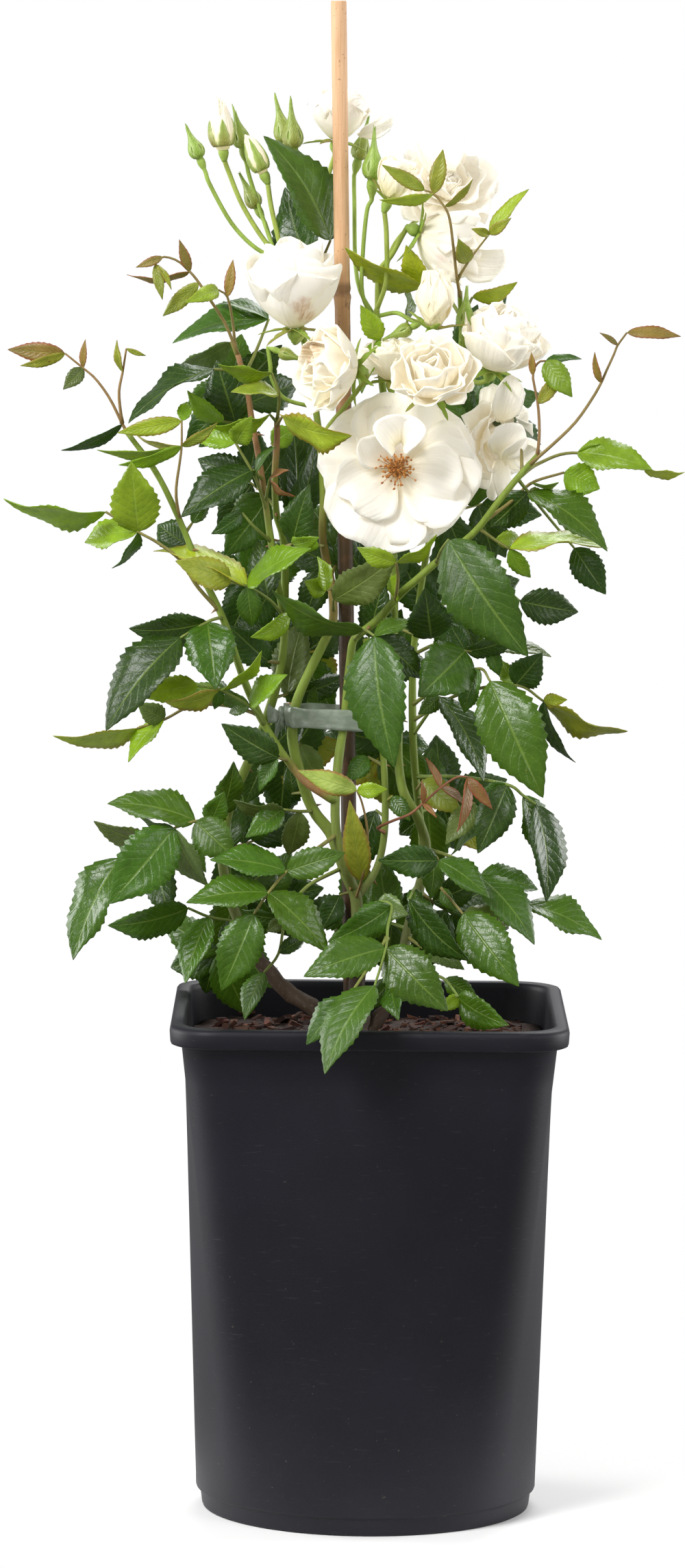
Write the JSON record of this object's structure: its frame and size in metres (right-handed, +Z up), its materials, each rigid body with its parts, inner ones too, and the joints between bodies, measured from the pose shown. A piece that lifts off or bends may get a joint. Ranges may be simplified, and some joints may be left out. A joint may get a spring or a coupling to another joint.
{
  "type": "potted climbing rose",
  "caption": "Climbing iceberg rose with white blooms, green buds and toothed leaves, tied to a bamboo cane in a deep black plastic pot filled with compost.",
  "frame": {"origin": "centre of the pot's flat underside, on the ground", "axes": "+Z up along the pot and the cane, -Y towards the viewer of the picture, +X to the picture's right"},
  "size_m": [0.3775, 0.2533, 0.8446],
  "materials": {
    "pot_plastic": "satin black moulded plastic",
    "compost": "damp crumbly compost with bark chips",
    "bamboo": "smooth dry cane, slightly glossy",
    "tie_film": "clear thin film",
    "bark": "rough bark",
    "foliage": "satin green leaf and stem",
    "young_foliage": "glossy young leaf, olive to red-brown",
    "petal_white": "soft matte petal",
    "petal_cream": "soft matte petal",
    "stamen_gold": "powdery"
  },
  "bodies": {
    "root": {"rose_crown": "bark", "stem_left_back": "foliage", "stem_centre": "foliage", "stem_right": "foliage", "stem_left_long": "foliage", "stem_middle": "foliage", "stem_tall_right": "foliage", "truss_left": "foliage", "truss_middle": "foliage", "bloom_top": "petal_white", "bloom_left": "petal_white", "bloom_brown_edge": "petal_white", "bloom_small": "petal_white", "bloom_cup": "petal_white", "bloom_open": "petal_white", "bloom_right": "petal_white", "bloom_right_upper": "petal_white", "bloom_crest": "petal_white", "bloom_crest_low": "petal_white", "bloom_half_open": "petal_white", "bud_cream": "petal_cream", "bud_white": "petal_white", "bud_yellow": "petal_cream", "stamens": "stamen_gold", "bamboo_cane": "bamboo", "plastic_tie": "tie_film", "pot": "pot_plastic", "shoot_far_left": "young_foliage", "shoot_left_fork": "young_foliage", "shoot_upper_left": "young_foliage", "shoot_top_right": "young_foliage", "shoot_right": "young_foliage", "shoot_far_right": "young_foliage", "shoot_red": "young_foliage", "shoot_low_red": "young_foliage", "soil": "compost"}
  },
  "joints": []
}
